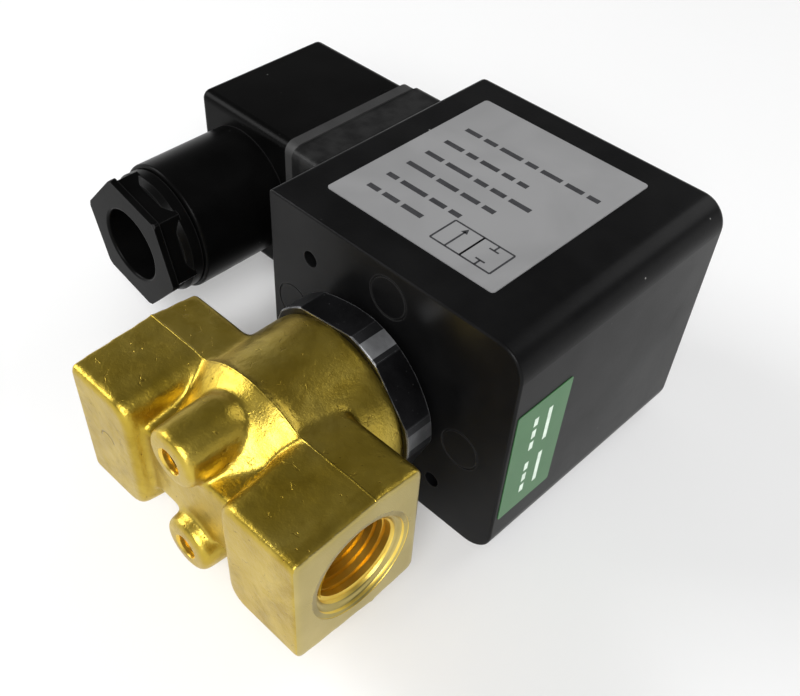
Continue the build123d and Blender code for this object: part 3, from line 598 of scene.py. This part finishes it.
def soften(data, rounds):
    """Round the forging: inner corners fill out well, outer ones only a little."""
    count = len(data.vertices)
    points = np.empty(count * 3)
    data.vertices.foreach_get("co", points)
    points = points.reshape(-1, 3)
    pairs = np.empty(len(data.edges) * 2, dtype=np.int32)
    data.edges.foreach_get("vertices", pairs)
    a, b = pairs.reshape(-1, 2).T
    degree = np.bincount(a, minlength=count) + np.bincount(b, minlength=count)
    quads = np.array([p.vertices[:] for p in data.polygons if len(p.vertices) == 4])
    flash = np.clip(np.abs(points[:, 1] - PARTING_Y) / FLASH_BAND, FLASH_RATE, 1.0)
    middle = np.clip((MIDDLE_X - np.abs(points[:, 0])) / MIDDLE_FADE, 0.0, 1.0)
    outer_rate = OUTER_RATE + MIDDLE_EXTRA * middle
    for _ in range(rounds):
        total = np.zeros_like(points)
        normals = np.zeros_like(points)
        corner = [points[quads[:, k]] for k in range(4)]
        facing = np.cross(corner[2] - corner[0], corner[3] - corner[1])
        for axis in range(3):
            total[:, axis] = (np.bincount(a, points[b, axis], count)
                              + np.bincount(b, points[a, axis], count))
            for k in range(4):
                normals[:, axis] += np.bincount(quads[:, k], facing[:, axis], count)
        step = total / degree[:, None] - points
        hollow = (step * normals).sum(axis=1) > 0
        points += step * (np.where(hollow, HOLLOW_RATE, outer_rate) * flash)[:, None]
    data.vertices.foreach_set("co", points.ravel())


def forged_body():
    """The body made as the real one is: a rounded blank, faced off, then bored."""
    skin = bmesh.new()
    skin.from_mesh(NODES["valve_body"].data)
    bmesh.ops.remove_doubles(skin, verts=skin.verts, dist=1e-6)
    cutter = skin.copy()
    bored = [f for f in skin.faces if all(cut_surface(v.co) for v in f.verts)]
    bmesh.ops.delete(skin, geom=bored, context="FACES")
    cap_holes(skin)
    for vertex in skin.verts:
        if on_plane(vertex.co, 1, BODY_HIGH.y):
            vertex.co.y += TOP_STOCK
    blank = scratch_object("blank", skin)
    data = with_modifier(blank, "REMESH", mode="VOXEL", voxel_size=VOXEL)
    soften(data, SOFTEN_ROUNDS)

    kept = [f for f in cutter.faces if not all(cut_surface(v.co) for v in f.verts)]
    bmesh.ops.delete(cutter, geom=kept, context="FACES")
    rims = [e for e in cutter.edges if e.is_boundary]
    grown = bmesh.ops.extrude_edge_only(cutter, edges=rims)["geom"]
    for vertex in (g for g in grown if isinstance(g, bmesh.types.BMVert)):
        vertex.co = off_machined(vertex.co, OVERRUN)
    cap_holes(cutter)
    bmesh.ops.recalc_face_normals(cutter, faces=cutter.faces)
    tool = scratch_object("tool", cutter)

    faced = bmesh.new()
    faced.from_mesh(data)
    for place, normal in (((BODY_HIGH.x, 0, 0), (1, 0, 0)), ((BODY_LOW.x, 0, 0), (-1, 0, 0)),
                          ((0, 0, 0), (0, -1, 0)), ((0, BODY_HIGH.y, 0), (0, 1, 0))):
        everything = faced.verts[:] + faced.edges[:] + faced.faces[:]
        bmesh.ops.bisect_plane(faced, geom=everything, plane_co=place, plane_no=normal,
                               clear_outer=True, dist=1e-7)
        cap_holes(faced)
    part = scratch_object("faced", faced)
    data = with_modifier(part, "BOOLEAN", operation="DIFFERENCE", object=tool,
                         solver="MANIFOLD")
    bpy.data.objects.remove(tool)
    data.name = "forging"
    data.materials.clear()
    piece = make_piece("body_forging", data, FORGED)
    for look in (BORE, MACHINED_PORT, MACHINED_STEM):
        data.materials.append(look)
    for face in data.polygons:
        corners = [data.vertices[i].co for i in face.vertices]
        depth = min(abs(abs(face.center.x) - BODY_HIGH.x), abs(abs(face.center.x) + BODY_LOW.x))
        spot_face = abs(face.normal.x) > 0.7 and depth < SPOT_DEPTH
        if all(cut_surface(co) for co in corners) and not spot_face:
            face.material_index = 1
        elif spot_face or face.normal.x < -0.995 and on_plane(face.center, 0, BODY_LOW.x):
            face.material_index = 2
        elif face.normal.y > 0.999 and on_plane(face.center, 1, BODY_HIGH.y):
            face.material_index = 3
    shade_smooth(piece, 32)
    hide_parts("valve_body")


forged_body()


# ---- return spring ----
def spring_wire():
    """The wire of the return spring as a piece of its own on the valve; it does not shorten here
    as the plunger lifts.
    """
    wire = NODES["return_spring"].data.copy()
    wire.materials.clear()
    spring = make_piece("spring_wire", wire, SPRING)
    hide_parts("return_spring")
    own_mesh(spring)


spring_wire()


# ---- threads ----
G14_PITCH, G14_CREST_R = 1.337 * MM, 6.05 * MM
G14_START, G14_SHORT = 0.8, 0.9     # in mm: first turn above the port's floor, plain length
M4_PITCH, M4_CREST_R = 0.7 * MM, 1.62 * MM
M4_TOP_Y, M4_LENGTH = 6.6 * MM, 6.2 * MM
for mount_name in ("port_in", "port_out"):
    port = mount(mount_name)
    direction = Vector(port["axis"])
    length_mm = port["dims"]["length_mm"]
    floor = Vector(port["pos_m"]) - direction * length_mm * MM
    thread(mount_name + "_thread", along_axis(floor + direction * G14_START * MM, direction),
           PORT_R - 0.02 * MM, G14_CREST_R, G14_PITCH, (length_mm - G14_SHORT) * MM)
for label, z in (("upper", FIXING_Z), ("lower", -FIXING_Z)):
    thread("fixing_thread_" + label, along_axis(Vector((0, M4_TOP_Y, z)), (0, -1, 0)),
           FIXING_R - 0.01 * MM, M4_CREST_R, M4_PITCH, M4_LENGTH)


# ---- printed marks on the name plate and the green label ----
INK_THICK = 0.012 * MM
INK_SUNK = 0.004 * MM           # the ink starts this far inside the foil
PLATE_ROWS = ((66.6, 24.9), (61.9, 15.7), (57.8, 19.5), (53.9, 16.4), (49.8, 13.8), (45.9, 10.3))
ROW_MARGIN = 3.5 * MM           # from the plate's edge to the start of each row
BAR_WIDTH, BAR_GAP = 0.95 * MM, 0.8 * MM
BAR_SHORTEST, BAR_LONGEST = 1.8, 5.2
ROW_END = 1.2 * MM              # no bar starts closer than this to its row's end
SYMBOL_X, SYMBOL_Y = 6.4 * MM, 46.2 * MM
SYMBOL_SIDE, SYMBOL_LINE = 5.2 * MM, 0.3 * MM
DIRECT_STARTS = (3.0, 12.2)
DIRECT_LINE = 0.85 * MM


def printed(name, outlines, place, material):
    """Flat strokes a hair above a foil: outlines are lists of points, place maps them."""
    mesh = bmesh.new()
    for outline in outlines:
        mesh.faces.new([mesh.verts.new(place(*point)) for point in outline])
    solid = bmesh.ops.extrude_face_region(mesh, geom=mesh.faces[:])
    lift = place(0, 0, INK_THICK) - place(0, 0)
    for part in solid["geom"]:
        if isinstance(part, bmesh.types.BMVert):
            part.co += lift
    bmesh.ops.recalc_face_normals(mesh, faces=mesh.faces)
    data = bpy.data.meshes.new(name)
    mesh.to_mesh(data)
    mesh.free()
    return make_piece(name, data, material)


def stroke(x0, y0, x1, y1, width):
    """Corners of a straight stroke between two points."""
    along_x, along_y = x1 - x0, y1 - y0
    half = width / 2 / math.hypot(along_x, along_y)
    across_x, across_y = -along_y * half, along_x * half
    return [(x0 - across_x, y0 - across_y), (x1 - across_x, y1 - across_y),
            (x1 + across_x, y1 + across_y), (x0 + across_x, y0 + across_y)]


def frame_of(x0, y0, x1, y1, width):
    """Four strokes around a rectangle."""
    return [stroke(x0, y0, x1, y0, width), stroke(x1, y0, x1, y1, width),
            stroke(x1, y1, x0, y1, width), stroke(x0, y1, x0, y0, width)]


def on_plate(x, y, lift=0.0):
    """Plate coordinates: x along the ports, y along the stem."""
    return Vector((x, y, PLATE_HIGH.z - INK_SUNK + lift))


def on_label(x, y, lift=0.0):
    """Label coordinates: x runs down the label towards -Z, y across it, along the stem."""
    return Vector((GREEN_HIGH.x - INK_SUNK + lift, y, -x))


def plate_rules():
    """Rows of short bars, laid out as a rating text but with no lettering."""
    rng = random.Random(7)
    left = PLATE_LOW.x + ROW_MARGIN
    bars = []
    for y, length in PLATE_ROWS:
        x = left
        end = left + length * MM
        while x < end - ROW_END:
            step = min(rng.uniform(BAR_SHORTEST, BAR_LONGEST) * MM, end - x)
            bars.append(stroke(x, y * MM, x + step, y * MM, BAR_WIDTH))
            x += step + BAR_GAP
    return bars


def valve_symbol():
    """Graphic symbol of a 2/2 valve: two boxes, one with a flow line and one closed."""
    x, y, side, width = SYMBOL_X, SYMBOL_Y, SYMBOL_SIDE, SYMBOL_LINE
    top, foot = y + side / 2, y - side / 2
    lines = frame_of(x - side, foot, x, top, width) + frame_of(x, foot, x + side, top, width)
    middle = x - side / 2
    head_foot, head_half = top - 1.3 * MM, 0.55 * MM
    lines.append(stroke(middle, foot, middle, top - 0.9 * MM, width))
    lines.append([(middle - head_half, head_foot), (middle + head_half, head_foot),
                  (middle, top - 0.2 * MM)])
    closed, stem, bar_half = x + side / 2, 1.2 * MM, 0.8 * MM
    for end in (-1, 1):
        near = y + end * side / 2
        stop = near - end * stem
        lines.append(stroke(closed, near, closed, stop, width))
        lines.append(stroke(closed - bar_half, stop, closed + bar_half, stop, width))
    return lines


def direct_current_symbol():
    """The direct-current sign, one long bar beside three short ones, twice."""
    middle = (GREEN_LOW.y + GREEN_HIGH.y) / 2
    long_y, short_y = middle + 1.7 * MM, middle - 1.3 * MM
    long_length, short_length, short_pitch = 6.4 * MM, 1.6 * MM, 2.4 * MM
    marks = []
    for start in DIRECT_STARTS:
        left = start * MM - GREEN_HIGH.z
        marks.append(stroke(left, long_y, left + long_length, long_y, DIRECT_LINE))
        for k in range(3):
            x = left + k * short_pitch
            marks.append(stroke(x, short_y, x + short_length, short_y, DIRECT_LINE))
    return marks


printed("plate_rules", plate_rules(), on_plate, DARK_INK)
printed("plate_symbol", valve_symbol(), on_plate, DARK_INK)
printed("label_symbol", direct_current_symbol(), on_label, PALE_INK)


# ---- floor, lights, camera ----
CENTRE = (0.0, 0.04, 0.0)       # what the lamps aim at
KEY_PLACE = (0.55, -0.6, 0.7)
FLOOR_SIZE = 6.0
FLOOR_GAP = 0.2 * MM
SKY_STOPS = ((0.1, 0.95), (0.36, 0.165))    # height of the view direction, and grey


def make_floor():
    """Plain pale floor just under the valve."""
    bpy.ops.mesh.primitive_plane_add(size=FLOOR_SIZE, location=(0, 0, CAD_BOX[0][2] - FLOOR_GAP))
    floor = bpy.context.active_object
    floor.name = "floor"
    look = Look("pale_floor")
    look.colour(look.ramp(look.noise(3, 2),
                          [(0.3, (0.93, 0.93, 0.93)), (0.7, (0.95, 0.95, 0.95))]))
    look.rough(look.noise(20, 2), 0.6, 0.75)
    floor.data.materials.append(look.material)


def aimed_lamp(name, data, place):
    """Puts a lamp at a place and aims it at the centre."""
    lamp = bpy.data.objects.new(name, data)
    lamp.location = place
    lamp.rotation_euler = (Vector(CENTRE) - Vector(place)).to_track_quat("-Z", "Y").to_euler()
    bpy.context.scene.collection.objects.link(lamp)


def area_light(name, place, size, watts):
    data = bpy.data.lights.new(name, "AREA")
    data.shape = "RECTANGLE"
    data.size, data.size_y = size
    data.energy = watts
    aimed_lamp(name, data, place)


def sky_light(name, place, strength):
    """Wide, soft parallel light that reaches the far floor too."""
    data = bpy.data.lights.new(name, "SUN")
    data.energy = strength
    data.angle = math.radians(40)
    aimed_lamp(name, data, place)


def make_world():
    """Pale backdrop round the horizon, dim studio above."""
    world = bpy.data.worlds.new("studio")
    world.use_nodes = True
    tree = world.node_tree
    direction = tree.nodes.new("ShaderNodeTexCoord").outputs["Generated"]
    height = tree.nodes.new("ShaderNodeSeparateXYZ")
    tree.links.new(direction, height.inputs[0])
    shade = tree.nodes.new("ShaderNodeValToRGB")
    shade.color_ramp.interpolation = "EASE"
    for element, (position, grey) in zip(shade.color_ramp.elements, SKY_STOPS):
        element.position = position
        element.color = (grey, grey, grey, 1)
    tree.links.new(height.outputs["Z"], shade.inputs["Fac"])
    tree.links.new(shade.outputs["Color"], tree.nodes["Background"].inputs["Color"])
    bpy.context.scene.world = world


make_floor()
area_light("key", KEY_PLACE, (0.5, 0.5), 6.6)
area_light("fill", (-0.75, -0.35, 0.5), (0.5, 0.4), 4.8)
area_light("back", (0.2, 0.85, 0.6), (0.6, 0.4), 1.5)
sky_light("sun", KEY_PLACE, 1.35)
make_world()
bpy.context.scene.view_settings.view_transform = "Standard"


def make_camera():
    """Camera at the product shot's viewing angle, with a slight roll and framing shift."""
    data = bpy.data.cameras.new("camera")
    data.lens = 43.91
    data.sensor_width = 36.0
    data.shift_x = 0.025
    data.shift_y = 0.1
    data.clip_start, data.clip_end = 0.01, 10.0
    camera = bpy.data.objects.new("camera", data)
    camera.location = (0.06815, -0.03693, 0.10083)
    camera.rotation_euler = [math.radians(angle) for angle in (41.23, -2.1, 44.965)]
    bpy.context.scene.collection.objects.link(camera)
    bpy.context.scene.camera = camera


make_camera()
